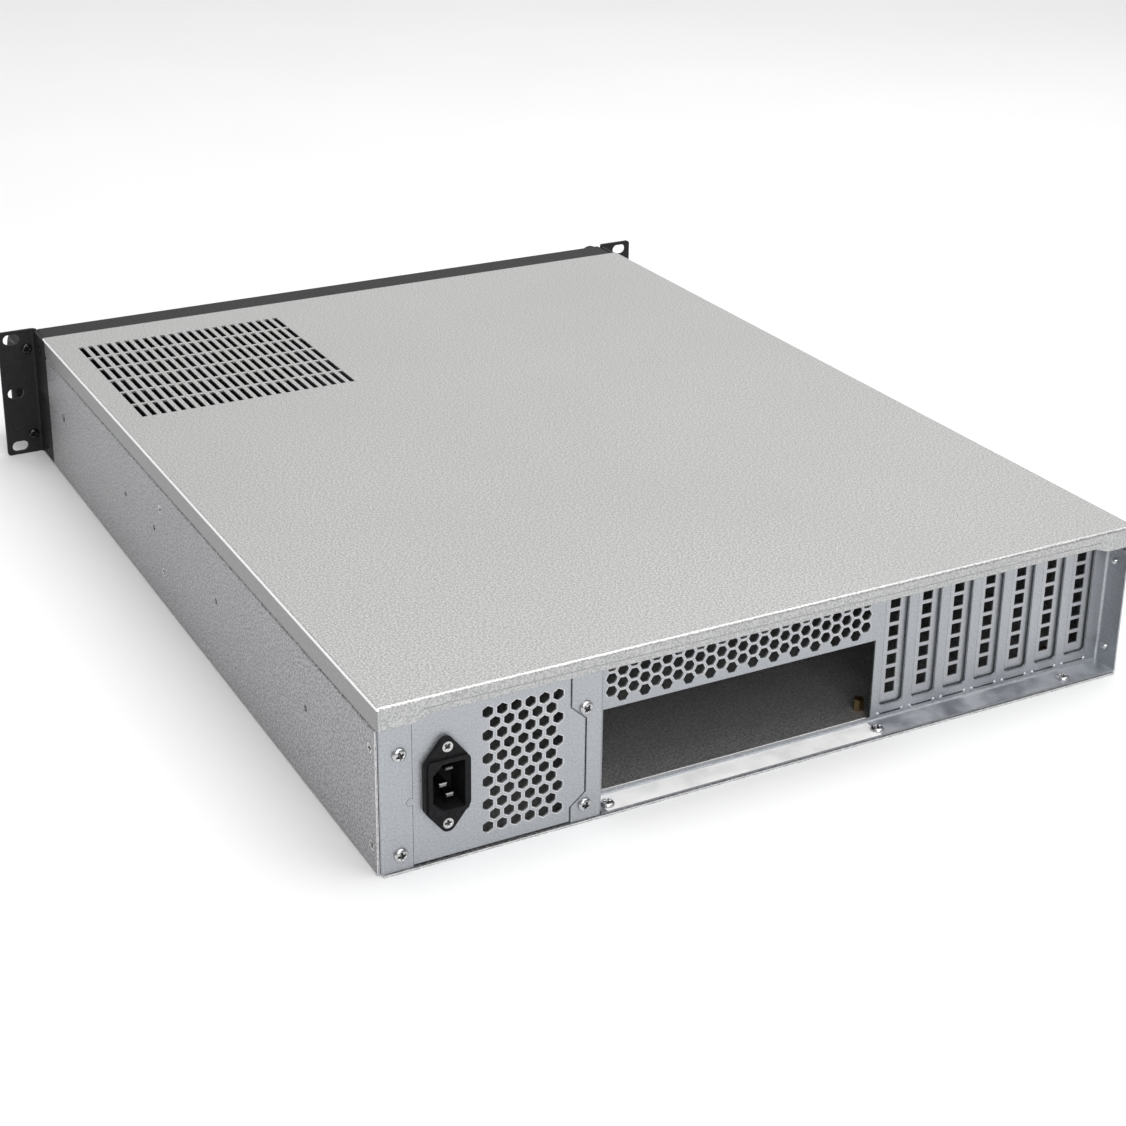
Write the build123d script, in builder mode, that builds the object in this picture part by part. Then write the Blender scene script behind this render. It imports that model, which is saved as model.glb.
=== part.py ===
import os

from build123d import *

os.makedirs("parts", exist_ok=True)

# Empty rackmount server case, two rack units high, shown from behind in the photograph.
# The frame: +Z up, front towards -Y, rear towards +Y, mains inlet on the +X side.
# The origin is the bottom centre of the whole case, handles and inlet included. Millimetres.

# Overall sizes
case_height = 88.0  # underside of the tray to the top of the cover
case_depth = 575.5  # front face of the rack ears to the outside of the cover's rear lip
handle_reach = 38.0  # handles, ahead of the rack ears

# What stands side by side across the rear, from the far side wall to the one by the mains
# inlet, sets the case's width. The ears bring it to the width of the rack.
far_margin = 18.58  # far side wall to the middle of the last expansion slot
slot_count = 7
slot_pitch = 20.32
io_margin = 12.525  # middle of the first slot to the I/O window
io_width = 158.75
step_margin = 7.725  # I/O window to the step in the rear panel
plate_span = 115.5  # the step to the near side wall
ear_reach = 23.8  # rack ears, out from the side walls

# Sheet metal
sheet = 1.0  # zinc-coated sheet of the tray, cover, rear panel and brackets
bend = 1.6  # outside radius of a fold
slide_gap = 0.2  # between the cover and the sheet that it slides on
seam = 0.1  # between two sheets that are screwed together
screw_gap = 0.05  # round a screw's shank and a countersunk head

# Top cover
side_lip = 11.5  # height of the cover's side lips
rear_lip = 8.7  # height of the rear lip between its end tabs
crease = 5.1  # from the top down to the crease in the rear lip
crease_set = 0.4  # how far the rear lip is set in below its crease
tab_width = 17.5  # end tabs of the rear lip, as tall as the side lips
tab_slope = 8.0  # run of a tab's slanting edge
cover_overhang = 5.5  # top sheet ahead of the side lips, over the ears' flanges
vent_columns = 23
vent_rows = 6
vent_width = 3.1
vent_length = 20.7
vent_pitch_x = 6.08
vent_pitch_y = 23.2
vent_side = 84.5  # middle of the vent field, from the near side wall
vent_front = 54.3  # front of the ears to the first row of vents

# Tray
wall_set_rear = 3.2  # side wall's rear edge, ahead of the rear face
tray_return = 10.0  # inward fold along the top of a side wall
seam_line = 0.6  # open line between a side lip and the step below it
rail_hole_r = 1.65
rail_hole_z = 44.5
rail_hole_back = (87.8, 215.7, 321.7, 375.9)  # slide rail holes, from the rear face

# Rack ears and their handles
ear_thickness = 2.0
ear_drop = 0.4  # top of the ears, below the cover's
ear_flange = 29.5  # depth of the flange on the case's side
ear_slot_inset = 8.75  # a slot's middle, from the ear's outer edge
ear_slot_margin = 5.7  # the end slots' middles, from the ear's ends
ear_slot_length = 11.0
ear_slot_height = 7.2
ear_corner = 2.0
ear_screw_back = 15.5
ear_screw_low = (7.8, 43.3)
ear_screw_drop = 11.3
handle_offset = 5.5  # side wall to the handle's middle
handle_pitch = 61.0
handle_rod = 9.0
handle_bend = 11.0

# Rear panel
panel_foot = 1.2  # panel's lower edge above the ground
side_strip = 17.1  # panel between the side of the case and the inlet window
plate_margin = 17.0  # the step to the window's edge
plate_margin_wide = 9.0  # the same between the two slanting corners
corner_low = (10.0, 16.6)
corner_high = (56.2, 63.8)
window_drop = 7.4  # top of the window, below the cover's
recess = 14.0
ledge_drop = 8.0  # underside of the ledge over the expansion slots, below the cover's top
ledge_screw_back = 9.5
flange_corner = 6.0
rear_flange = 24.0
io_height = 44.45
io_z = 4.5
comb_hex = 5.6  # across the flats
comb_pitch_x = 6.15
comb_pitch_z = 6.8
comb_columns = 25
comb_rows = 3
comb_shift = 1.1  # middle of the honeycomb, from that of the I/O window
comb_drop = 30.1
rear_screw_back = 9.4
rear_screw_foot = 13.1
rear_screw_drop = 24.1
floor_screw_side = (6.2, 164.8, 286.6)  # from the step
floor_screw_back = 6.4

# Expansion slots
slot_width = 14.4
slot_foot = 9.7
slot_drop = 12.0
slot_corner = 2.2
slot_cover_gap = 1.92
slot_cover_foot = 6.6
slot_cover_set = 1.1  # slot covers, in front of the recessed wall
tongue_width = 10.2
tongue_foot = 3.2
grille_hole = 6.0
grille_pitch = 8.1
grille_count = 7
grille_z = 18.3
slit_z = 4.9
slit_width = 14.0
slit_height = 0.9
dimple = 1.4

# Inlet plate and mains inlet
plate_gap = 0.6  # open line round the inlet plate
plate_foot = 2.4
plate_screw_near = 10.7  # from the side wall
plate_screw_far = 9.5  # from the step
plate_screw_z = (9.6, 61.8)
plate_tab = 7.0  # half the width of a tab behind the panel
plate_flange = 27.5
lug = 2.0
lug_z = 35.7
vent_hex = 5.5
vent_hex_pitch_x = 7.25
vent_hex_rows = 6
vent_hex_side = 7.075  # the window's edge to the first column's middle
vent_hex_clear = 5.0  # between the vents and the mains inlet
vent_hex_foot = 11.75
vent_hex_head = 8.35
inlet_side_x = 33.5  # from the side wall
inlet_z = 41.5
inlet_flange_width = 23.2
inlet_flange_height = 48.5
inlet_flange = 3.0
inlet_side = 24.0
inlet_tip = 4.0
inlet_collar = 1.2
inlet_collar_width = 20.6
inlet_collar_height = 28.4
inlet_body_width = 19.6
inlet_body_height = 27.2
inlet_body_depth = 20.0
socket_width = 16.2
socket_height = 24.2
socket_corner = 5.0
socket_depth = 15.5
inlet_screw_pitch = 40.0
pin_width = 4.0
pin_thickness = 2.0
pin_pitch = 7.0
pin_offset = 2.0
pin_tip = 3.6  # the pins' tips below the collar
earth_pin_tip = 2.0

# Front panel and what it carries
front_skin = 1.2
front_drop = 1.4  # top of the front panel, below the cover's
front_lap = 77.5  # from the front face to the end of the side flanges
front_rivet_reach = 65.2  # from the ears' front
front_rivet_z = 45.8
front_rivet_head = 5.6
power_span = 171.2  # near side wall to the drive bay
control_span = 115.2  # far side wall to the drive bay
bay_foot = 41.0
bay_drop = 5.0
bay_cover_gap = 0.3
bay_cover_rim = 3.0
bay_cover_clip = 6.0
front_vent_width = 3.2
front_vent_length = 30.0
front_vent_pitch = 6.4
front_vent_pitch_z = 36.0
power_vent_columns = 21
side_vent_columns = 16
side_vent_side = 65.5  # this and the next places are from the far side wall
low_vent_z = 20.0
control_z = 62.0
power_button_side = 21.5
power_button_d = 11.6
power_travel = 2.0
reset_button_side = 39.5
reset_button_d = 5.8
reset_travel = 1.5
button_gap = 0.3
button_proud = 1.5
button_rim = 1.3
button_rim_thickness = 1.2
stem_d = 3.5
stem_gap = 0.05
stem_reach = 1.0
switch_size = 8.0
switch_height = 4.5
switch_bore = 4.0
light_side = (52.5, 61.5)
light_d = 3.0
light_gap = 0.15
light_proud = 0.6
usb_side = (74.5, 91.5)
usb_width = 13.1
usb_height = 5.7
usb_shell = 0.4
usb_tongue = 1.9
usb_gap = 0.2
board_back = 8.5  # from the panel's inner face to the control board
board_thickness = 1.6
board_width = 100.0
board_height = 20.0
board_side = 57.5
post_d = 5.0
post_side = (11.0, 104.0)
post_bore_r = 1.2

# Brackets inside
fan_wall_back = 316.0
fan_wall_flange = 16.0
fan_wall_drop = 3.0
fan_screw_back = 308.0
fan_screw_z = (22.1, 61.3)
fan_count = 4
fan_margin = 9.5
fan_rim = 4.5  # a fan's opening is wider than its screws' pitch by this
fan_foot = 7.25  # the fans' lower screws
fan_head = 6.25  # the fans' upper screws, below the top of the fan wall
fan_hole_r = 2.15
power_bracket_back = 378.0
power_bracket_width = 142.0
bracket_drop = 4.0  # tops of the power supply's bracket and the drive cage
power_window_width = 120.0
power_window_frame = 11.0
power_hole_pitch_x = 130.0
power_hole_edge = 6.0
power_hole_r = 1.8
foot_depth = 14.0
foot_screws = 3
cage_front = 34.0
cage_back = 365.5  # from the rear face
cage_hole_edge = 28.0
cage_hole_drop = (32.0, 11.0)
standoff_hex = 5.0
standoff_height = 6.35
standoff_spigot = 3.8
standoff_bore_r = 1.25
standoff_bore_depth = 5.0
board_hole_side = (12.5, 170.0, 294.4)  # from the step
board_hole_back = (30.0, 184.9, 257.3)

# Screws
pan_head = 7.2
pan_height = 2.1
pan_edge = 0.8
shank = 3.4
sunk_head = 6.6
side_screw_length = 5.0
pan_length = 6.0
inlet_screw_head = 5.8
inlet_screw_shank = 2.8
inlet_screw_length = 8.0

# Where the main planes lie
slot_span = slot_pitch * (slot_count - 1)
case_width = far_margin + slot_span + io_margin + io_width + step_margin + plate_span
rack_width = case_width + 2 * ear_reach
wall_x = case_width / 2
panel_set = sheet + slide_gap
inlet_out = inlet_flange + inlet_collar - panel_set
rear_y = (handle_reach + case_depth - inlet_out) / 2
front_y = rear_y - case_depth
panel_y = rear_y - panel_set
recess_y = panel_y - recess
ear_y = front_y + ear_thickness
step_x = wall_x - sheet - slide_gap
inner_x = wall_x - sheet - 2 * seam
lip_z = case_height - side_lip
tray_top = case_height - sheet - slide_gap
joggle_z = lip_z - seam_line - panel_set
wall_front = front_y + ear_flange + ear_thickness / 2
wall_rear = rear_y - wall_set_rear
cover_front = wall_front - cover_overhang
recess_x = wall_x - plate_span
slot_x = far_margin + slot_span - wall_x
io_x = slot_x + io_margin + io_width / 2
vent_x = wall_x - vent_side
ledge_z = case_height - ledge_drop
slot_head = case_height - slot_drop
slot_cover_width = slot_pitch - slot_cover_gap
comb_x = io_x + comb_shift
comb_z = case_height - comb_drop
rear_screw_z = (rear_screw_foot, case_height - rear_screw_drop)
ear_height = case_height - ear_drop
ear_screw_z = (*ear_screw_low, case_height - ear_screw_drop)
inlet_window_x = recess_x + plate_margin
inlet_window_wide_x = recess_x + plate_margin_wide
window_head = case_height - window_drop
plate_screw_x = (wall_x - plate_screw_near, recess_x + plate_screw_far)
inlet_x = wall_x - inlet_side_x
vent_hex_first = inlet_window_x + vent_hex_side
vent_hex_last = inlet_x - inlet_flange_width / 2 - vent_hex_clear - vent_hex / 2
vent_hex_columns = 1 + int((vent_hex_last - vent_hex_first) / vent_hex_pitch_x)
vent_hex_x = vent_hex_first + vent_hex_pitch_x * (vent_hex_columns - 1) / 2
vent_hex_pitch_z = (window_head - vent_hex_head - vent_hex_foot) / (vent_hex_rows - 1)
vent_hex_z = (window_head - vent_hex_head + vent_hex_foot) / 2
front_x = wall_x - ear_thickness - seam
front_in = front_y + front_skin
front_top = case_height - front_drop
front_rivet_back = case_depth - front_rivet_reach
bay_width = case_width - power_span - control_span
bay_x = (control_span - power_span) / 2
bay_height = case_height - bay_drop - bay_foot
bay_z = bay_foot + bay_height / 2
drive_vent_columns = int(bay_width / front_vent_pitch) - 1
side_vent_x = side_vent_side - wall_x
power_button_x = power_button_side - wall_x
reset_button_x = reset_button_side - wall_x
light_x = [side - wall_x for side in light_side]
usb_x = [side - wall_x for side in usb_side]
board_x = board_side - wall_x
post_x = [side - wall_x for side in post_side]
board_y = front_in + board_back
tab_y = rear_y - ledge_screw_back
fan_y = rear_y - fan_wall_back
bracket_y = rear_y - power_bracket_back
cage_depth = case_depth - cage_back - cage_front
cage_y = front_y + cage_front + cage_depth / 2
cage_hole_pitch_y = cage_depth / 2 - cage_hole_edge
bracket_head = case_height - bracket_drop
power_window_height = bracket_head - 2 * power_window_frame
power_hole_pitch_z = bracket_head - 2 * power_hole_edge
fan_wall_head = case_height - fan_wall_drop
fan_pitch = (case_width - 2 * fan_margin) / fan_count
fan_hole_pitch = fan_wall_head - fan_foot - fan_head
fan_opening = fan_hole_pitch + fan_rim
fan_z = fan_foot + fan_hole_pitch / 2
standoff_points = [(recess_x - side, rear_y - back) for side in board_hole_side for back in board_hole_back]
recess_points = [(recess_x - side, rear_y - floor_screw_back) for side in floor_screw_side]
bracket_foot = [
    (vent_x + i * power_bracket_width / foot_screws, bracket_y + foot_depth / 2)
    for i in (-1, 0, 1)
]
cage_foot = [
    (bay_x + side * (bay_width / 2 + sheet + foot_depth / 2), cage_y + end * cage_hole_pitch_y)
    for side in (-1, 1)
    for end in (-1, 1)
]
front_foot = [(i * front_x * 2 / foot_screws, front_y + foot_depth) for i in (-1, 0, 1)]
floor_points = recess_points + bracket_foot + cage_foot + front_foot
shank_r = shank / 2
shank_hole = shank_r + screw_gap


# The tray is one folded sheet: floor, two side walls that step in behind the cover's lips,
# and a narrow return along the top of each wall.
with BuildPart() as chassis_tray:
    with BuildSketch(Plane.XZ.offset(-wall_rear)):
        with BuildLine():
            FilletPolyline(
                (-step_x + tray_return, tray_top),
                (-step_x, tray_top),
                (-step_x, joggle_z + panel_set),
                (-wall_x, joggle_z),
                (-wall_x, 0),
                (wall_x, 0),
                (wall_x, joggle_z),
                (step_x, joggle_z + panel_set),
                (step_x, tray_top),
                (step_x - tray_return, tray_top),
                radius=bend,
            )
            offset(amount=sheet, side=Side.LEFT)
        make_face()
    extrude(amount=wall_rear - wall_front)
    # The floor runs on between the ears' flanges at the front, and to the rear face.
    with BuildSketch(Plane.XY):
        with Locations((0, (front_y + ear_thickness + rear_y - seam) / 2)):
            Rectangle(2 * front_x, rear_y - seam - front_y - ear_thickness)
    extrude(amount=sheet)
    # Slide rail holes, the same on both sides
    with BuildSketch(Plane.YZ):
        with Locations([(rear_y - back, rail_hole_z) for back in rail_hole_back]):
            Circle(rail_hole_r)
    extrude(amount=wall_x + sheet, both=True, mode=Mode.SUBTRACT)
    # Countersunk holes for the screws that hold the rear panel's side flanges
    for side in (-1, 1):
        for z in rear_screw_z:
            with Locations(Plane((side * wall_x, rear_y - rear_screw_back, z), z_dir=(side, 0, 0))):
                CounterSinkHole(shank_hole, sunk_head / 2 + screw_gap, depth=2 * sheet, counter_sink_angle=90)
    # Countersunk holes for the fan wall's screws and the front panel's rivets
    for side in (-1, 1):
        for z in fan_screw_z:
            with Locations(Plane((side * wall_x, rear_y - fan_screw_back, z), z_dir=(side, 0, 0))):
                CounterSinkHole(shank_hole, sunk_head / 2 + screw_gap, depth=2 * sheet, counter_sink_angle=90)
        with Locations(Plane((side * wall_x, rear_y - front_rivet_back, front_rivet_z), z_dir=(side, 0, 0))):
            CounterSinkHole(
                shank_hole,
                front_rivet_head / 2 + screw_gap,
                depth=2 * sheet,
                counter_sink_angle=90,
            )
    # Holes in the floor for screws and for the board standoffs' spigots
    with BuildSketch(Plane.XY):
        with Locations(floor_points):
            Circle(shank_hole)
        with Locations(standoff_points):
            Circle(standoff_spigot / 2 + screw_gap)
    extrude(amount=sheet, mode=Mode.SUBTRACT)
chassis_tray.part.label = "chassis_tray"
export_step(chassis_tray.part, "parts/chassis_tray.step")

# The cover is one folded sheet with two side lips and a rear lip. The rear lip is creased
# lengthwise, and ends in two taller tabs with slanting inner edges.
with BuildPart() as top_cover:
    with BuildSketch(Plane.XY.offset(lip_z)):
        with Locations((0, (cover_front + rear_y) / 2)):
            Rectangle(case_width, rear_y - cover_front)
    extrude(amount=side_lip)
    fillet(top_cover.faces().sort_by(Axis.Z)[-1].edges().sort_by(Axis.Y)[1:], bend)
    offset(
        amount=-sheet,
        openings=[top_cover.faces().sort_by(Axis.Z)[0], top_cover.faces().sort_by(Axis.Y)[0]],
    )
    # The side lips start behind the ears' flanges.
    with BuildSketch(Plane.XY.offset(lip_z)):
        with Locations((0, (cover_front + wall_front) / 2)):
            Rectangle(case_width, wall_front - cover_front)
    extrude(amount=side_lip - sheet, mode=Mode.SUBTRACT)
    # The rear lip is cut shorter between its tabs.
    with BuildSketch(Plane.XZ.offset(-rear_y)):
        with BuildLine():
            Polyline(
                (-wall_x + tab_width, lip_z),
                (-wall_x + tab_width + tab_slope, case_height - rear_lip),
                (wall_x - tab_width - tab_slope, case_height - rear_lip),
                (wall_x - tab_width, lip_z),
                close=True,
            )
        make_face()
    extrude(amount=2 * sheet, mode=Mode.SUBTRACT)
    with BuildSketch(Plane.XZ.offset(-rear_y)):
        with BuildLine():
            Polyline(
                (-wall_x + tab_width + tab_slope, case_height - rear_lip),
                (-wall_x + tab_width + 2 * tab_slope, case_height - crease),
                (wall_x - tab_width - 2 * tab_slope, case_height - crease),
                (wall_x - tab_width - tab_slope, case_height - rear_lip),
                close=True,
            )
        make_face()
    extrude(amount=crease_set, mode=Mode.SUBTRACT)
    # Vent slots over the power supply
    with BuildSketch(Plane.XY.offset(case_height)):
        with Locations((vent_x, front_y + vent_front + vent_length / 2 + vent_pitch_y * (vent_rows - 1) / 2)):
            with GridLocations(vent_pitch_x, vent_pitch_y, vent_columns, vent_rows):
                Rectangle(vent_width, vent_length)
    extrude(amount=-2 * sheet, mode=Mode.SUBTRACT)
top_cover.part.label = "top_cover"
export_step(top_cover.part, "parts/top_cover.step")

# Outline of the window that the inlet plate fills, in the plane of the rear panel
with BuildSketch() as inlet_window:
    with BuildLine():
        Polyline(
            (wall_x - side_strip, 0),
            (wall_x - side_strip, window_head),
            (inlet_window_x, window_head),
            (inlet_window_x, corner_high[1]),
            (inlet_window_wide_x, corner_high[0]),
            (inlet_window_wide_x, corner_low[1]),
            (inlet_window_x, corner_low[0]),
            (inlet_window_x, 0),
            close=True,
        )
    make_face()

# The rear panel is one folded sheet: a flange inside the tray's wall, the face round the inlet
# plate, a step forward, the recessed wall with the I/O window and the expansion slots, and a
# flange against the other wall. The recessed wall has a ledge above and a floor flange below.
slots_x = slot_x - slot_span / 2
with BuildPart() as rear_panel:
    with BuildSketch(Plane.XY.offset(panel_foot)):
        with BuildLine():
            FilletPolyline(
                (inner_x, wall_rear - rear_flange),
                (inner_x, panel_y),
                (recess_x, panel_y),
                (recess_x, recess_y),
                (recess_x - 3 * bend, recess_y),
                radius=bend,
            )
            offset(amount=sheet, side=Side.LEFT)
        make_face()
    extrude(amount=front_top - panel_foot)
    with BuildSketch(Plane.XY.offset(panel_foot)):
        with BuildLine():
            FilletPolyline(
                (recess_x - 2 * bend, recess_y),
                (-inner_x + sheet, recess_y),
                (-inner_x + sheet, panel_y),
                radius=bend,
            )
            offset(amount=sheet, side=Side.LEFT)
        make_face()
    extrude(amount=ledge_z - panel_foot)
    with BuildSketch(Plane.YZ.offset(recess_x)):
        with BuildLine():
            FilletPolyline(
                (wall_rear, ledge_z),
                (recess_y, ledge_z),
                (recess_y, panel_foot + sheet),
                (panel_y, panel_foot + sheet),
                radius=bend,
            )
            offset(amount=sheet, side=Side.RIGHT)
        make_face()
    extrude(amount=-(recess_x + inner_x - sheet))
    # Both flanges end below the step in the tray's walls, the far one with a round corner.
    for side, flange_end in ((-1, panel_y), (1, wall_rear)):
        with BuildSketch(Plane.YZ.offset(side * inner_x)):
            with Locations((flange_end + seam, joggle_z - bend)):
                Rectangle(2 * rear_flange, case_height, align=(Align.MAX, Align.MIN))
        extrude(amount=-side * sheet, mode=Mode.SUBTRACT)
    with BuildSketch(Plane.YZ.offset(-inner_x)):
        with Locations((panel_y, joggle_z - bend)):
            Rectangle(flange_corner, flange_corner, align=(Align.MAX, Align.MAX))
        with Locations((panel_y - flange_corner, joggle_z - bend - flange_corner)):
            Circle(flange_corner, mode=Mode.SUBTRACT)
    extrude(amount=sheet, mode=Mode.SUBTRACT)
    # Window for the inlet plate, with a round notch that the plate's lug fits
    with BuildSketch(Plane.XZ.offset(-panel_y)):
        add(inlet_window.sketch)
        with Locations((wall_x - side_strip + lug / 2, lug_z)):
            Circle(lug + seam)
        with Locations([(x, z) for x in plate_screw_x for z in plate_screw_z]):
            Circle(shank_hole)
    extrude(amount=sheet, mode=Mode.SUBTRACT)
    # Recessed wall: I/O window, honeycomb, slot openings and the tongues' slits
    with BuildSketch(Plane.XZ.offset(-recess_y)):
        with Locations((io_x, io_z + io_height / 2)):
            Rectangle(io_width, io_height)
        with Locations((comb_x, comb_z + comb_pitch_z)):
            with GridLocations(2 * comb_pitch_x, comb_pitch_z, (comb_columns + 1) // 2, comb_rows):
                RegularPolygon(comb_hex / 2, 6, major_radius=False)
        with Locations((comb_x, comb_z + comb_pitch_z / 2)):
            with GridLocations(2 * comb_pitch_x, comb_pitch_z, comb_columns // 2, comb_rows):
                RegularPolygon(comb_hex / 2, 6, major_radius=False)
        with Locations((slots_x, (slot_foot + slot_head) / 2)):
            with GridLocations(slot_pitch, 1, slot_count, 1):
                RectangleRounded(slot_width, slot_head - slot_foot, slot_corner)
        with Locations((slots_x, slit_z)):
            with GridLocations(slot_pitch, 1, slot_count, 1):
                Rectangle(slit_width, slit_height)
    extrude(amount=sheet, mode=Mode.SUBTRACT)
    # A dimple stands at each end of a slit.
    with BuildSketch(Plane.XZ.offset(-recess_y)):
        with Locations((slots_x, slit_z)):
            with GridLocations(slot_pitch, 1, slot_count, 1):
                with GridLocations(slit_width + dimple, 1, 2, 1):
                    Circle(dimple)
    extrude(amount=-dimple / 2, taper=40)
    # Screw holes: side flanges, floor flange and ledge
    with BuildSketch(Plane.YZ):
        with Locations([(rear_y - rear_screw_back, z) for z in rear_screw_z]):
            Circle(shank_hole)
    extrude(amount=case_width, both=True, mode=Mode.SUBTRACT)
    with BuildSketch(Plane.XY):
        with Locations(recess_points):
            Circle(shank_hole)
    extrude(amount=panel_foot + sheet, mode=Mode.SUBTRACT)
    with BuildSketch(Plane.XY.offset(ledge_z)):
        with Locations((slots_x, tab_y)):
            with GridLocations(slot_pitch, 1, slot_count, 1):
                Circle(shank_hole)
    extrude(amount=sheet, mode=Mode.SUBTRACT)
rear_panel.part.label = "rear_panel"
export_step(rear_panel.part, "parts/rear_panel.step")

# The inlet plate lies flush in its window. Its tabs step in behind the panel, and its inner
# edge is folded forward between the panel's two slanting corners.
with BuildPart() as inlet_plate:
    with BuildSketch(Plane.XZ.offset(-panel_y)):
        add(inlet_window.sketch)
        with Locations((plate_gap, 0)):
            add(inlet_window.sketch, mode=Mode.INTERSECT)
        with Locations((-seam, -seam)):
            add(inlet_window.sketch, mode=Mode.INTERSECT)
        with Locations((wall_x - side_strip + lug / 2, lug_z)):
            Circle(lug)
        Rectangle(wall_x, plate_foot, align=(Align.MIN, Align.MIN), mode=Mode.SUBTRACT)
    extrude(amount=sheet)
    # Tabs behind the panel, one sheet further in, and the steps that join them to the plate
    for x, edge, inward in zip(plate_screw_x, (wall_x - side_strip, inlet_window_x + plate_gap), (-1, 1)):
        for z in plate_screw_z:
            with BuildSketch(Plane.XZ.offset(-panel_y + sheet + seam)):
                with BuildLine():
                    Polyline(
                        (x - inward * plate_tab, z - plate_tab),
                        (edge + inward * 2 * sheet, z - plate_tab),
                        (edge + inward * 2 * sheet, z + plate_tab),
                        (x - inward * plate_tab, z + plate_tab),
                        close=True,
                    )
                make_face()
                with Locations((0, panel_foot + seam)):
                    Rectangle(case_width, case_height, align=(Align.CENTER, Align.MIN), mode=Mode.INTERSECT)
            extrude(amount=sheet)
            with BuildSketch(Plane.XZ.offset(-panel_y + sheet - seam)):
                with Locations((edge + inward * 1.5 * sheet, max(z, plate_foot + plate_tab))):
                    Rectangle(sheet, 2 * plate_tab)
            extrude(amount=sheet)
    # The folded inner edge
    with BuildSketch(Plane.XZ.offset(-panel_y + sheet / 2)):
        with Locations((inlet_window_wide_x + plate_gap, corner_low[1] + sheet)):
            Rectangle(sheet, corner_high[0] - corner_low[1] - 2 * sheet, align=(Align.MIN, Align.MIN))
    extrude(amount=plate_flange)
    # Hexagonal vents, the inlet's opening and the screw holes
    with BuildSketch(Plane.XZ.offset(-panel_y)):
        with Locations((vent_hex_x, vent_hex_z)):
            with GridLocations(vent_hex_pitch_x, vent_hex_pitch_z, vent_hex_columns, vent_hex_rows):
                RegularPolygon(vent_hex / 2, 6, major_radius=False, rotation=90)
            with GridLocations(vent_hex_pitch_x, vent_hex_pitch_z, vent_hex_columns - 1, vent_hex_rows - 1):
                RegularPolygon(vent_hex / 2, 6, major_radius=False, rotation=90)
        with Locations((inlet_x, inlet_z)):
            Rectangle(inlet_body_width + 2 * seam, inlet_body_height + 2 * seam)
            with GridLocations(1, inlet_screw_pitch, 1, 2):
                Circle(inlet_screw_shank / 2 + screw_gap)
    extrude(amount=sheet, mode=Mode.SUBTRACT)
    with BuildSketch(Plane.XZ.offset(-panel_y)):
        with Locations([(x, z) for x in plate_screw_x for z in plate_screw_z]):
            Circle(shank_hole)
    extrude(amount=3 * sheet, mode=Mode.SUBTRACT)
inlet_plate.part.label = "inlet_plate"
export_step(inlet_plate.part, "parts/inlet_plate.step")

# The mains inlet stands on end: a flange with pointed ends, a raised collar, and a socket whose
# corners are cut on the side of the earth pin.
with BuildPart() as inlet_body:
    with BuildSketch(Plane.XZ.offset(-panel_y)):
        with Locations((inlet_x, inlet_z)):
            Polygon(
                (inlet_flange_width / 2, -inlet_side / 2),
                (inlet_flange_width / 2, inlet_side / 2),
                (inlet_tip / 2, inlet_flange_height / 2),
                (-inlet_tip / 2, inlet_flange_height / 2),
                (-inlet_flange_width / 2, inlet_side / 2),
                (-inlet_flange_width / 2, -inlet_side / 2),
                (-inlet_tip / 2, -inlet_flange_height / 2),
                (inlet_tip / 2, -inlet_flange_height / 2),
            )
    extrude(amount=-inlet_flange)
    fillet(inlet_body.edges().filter_by(Axis.Y), inlet_tip)
    with BuildSketch(Plane.XZ.offset(-panel_y)):
        with Locations((inlet_x, inlet_z)):
            RectangleRounded(inlet_collar_width, inlet_collar_height, inlet_tip / 2)
    extrude(amount=-inlet_flange - inlet_collar)
    with BuildSketch(Plane.XZ.offset(-panel_y)) as inlet_back:
        with Locations((inlet_x, inlet_z)):
            Rectangle(inlet_body_width, inlet_body_height)
        chamfer(inlet_back.vertices().sort_by(Axis.X)[-2:], socket_corner)
    extrude(amount=inlet_body_depth)
    with BuildSketch(Plane.XZ.offset(-panel_y - inlet_flange - inlet_collar)) as socket:
        with Locations((inlet_x, inlet_z)):
            Rectangle(socket_width, socket_height)
        chamfer(socket.vertices().sort_by(Axis.X)[-2:], socket_corner)
    extrude(amount=socket_depth, mode=Mode.SUBTRACT)
    for side in (-1, 1):
        screw_z = inlet_z + side * inlet_screw_pitch / 2
        with Locations(Plane((inlet_x, panel_y + inlet_flange, screw_z), z_dir=(0, 1, 0))):
            CounterSinkHole(
                inlet_screw_shank / 2 + screw_gap,
                inlet_screw_head / 2 + screw_gap,
                depth=inlet_flange,
                counter_sink_angle=90,
            )
inlet_body.part.label = "inlet_body"
export_step(inlet_body.part, "parts/inlet_body.step")

# Three flat pins: the earth pin is offset towards the cut corners and reaches further out.
socket_floor = panel_y + inlet_flange + inlet_collar - socket_depth
with BuildPart() as inlet_pins:
    with BuildSketch(Plane.XZ.offset(-socket_floor)):
        with Locations((inlet_x - pin_offset, inlet_z)):
            with GridLocations(1, 2 * pin_pitch, 1, 2):
                Rectangle(pin_width, pin_thickness)
    extrude(amount=pin_tip - socket_depth)
    with BuildSketch(Plane.XZ.offset(-socket_floor)):
        with Locations((inlet_x + pin_offset, inlet_z)):
            Rectangle(pin_width, pin_thickness)
    extrude(amount=earth_pin_tip - socket_depth)
    for tip in inlet_pins.faces().filter_by(Plane.XZ).sort_by(Axis.Y)[-3:]:
        chamfer(tip.edges(), pin_thickness / 4)
inlet_pins.part.label = "inlet_pins"
export_step(inlet_pins.part, "parts/inlet_pins.step")


def pan_screw(length):
    """A pan-head screw along Z, its head standing on the plane Z = 0."""
    with BuildPart() as screw:
        Cylinder(shank_r, length, align=(Align.CENTER, Align.CENTER, Align.MAX))
        Cylinder(pan_head / 2, pan_height, align=(Align.CENTER, Align.CENTER, Align.MIN))
        chamfer(screw.edges().sort_by(Axis.Z)[-1], pan_height - pan_edge, pan_head / 4)
    return screw.part


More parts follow.
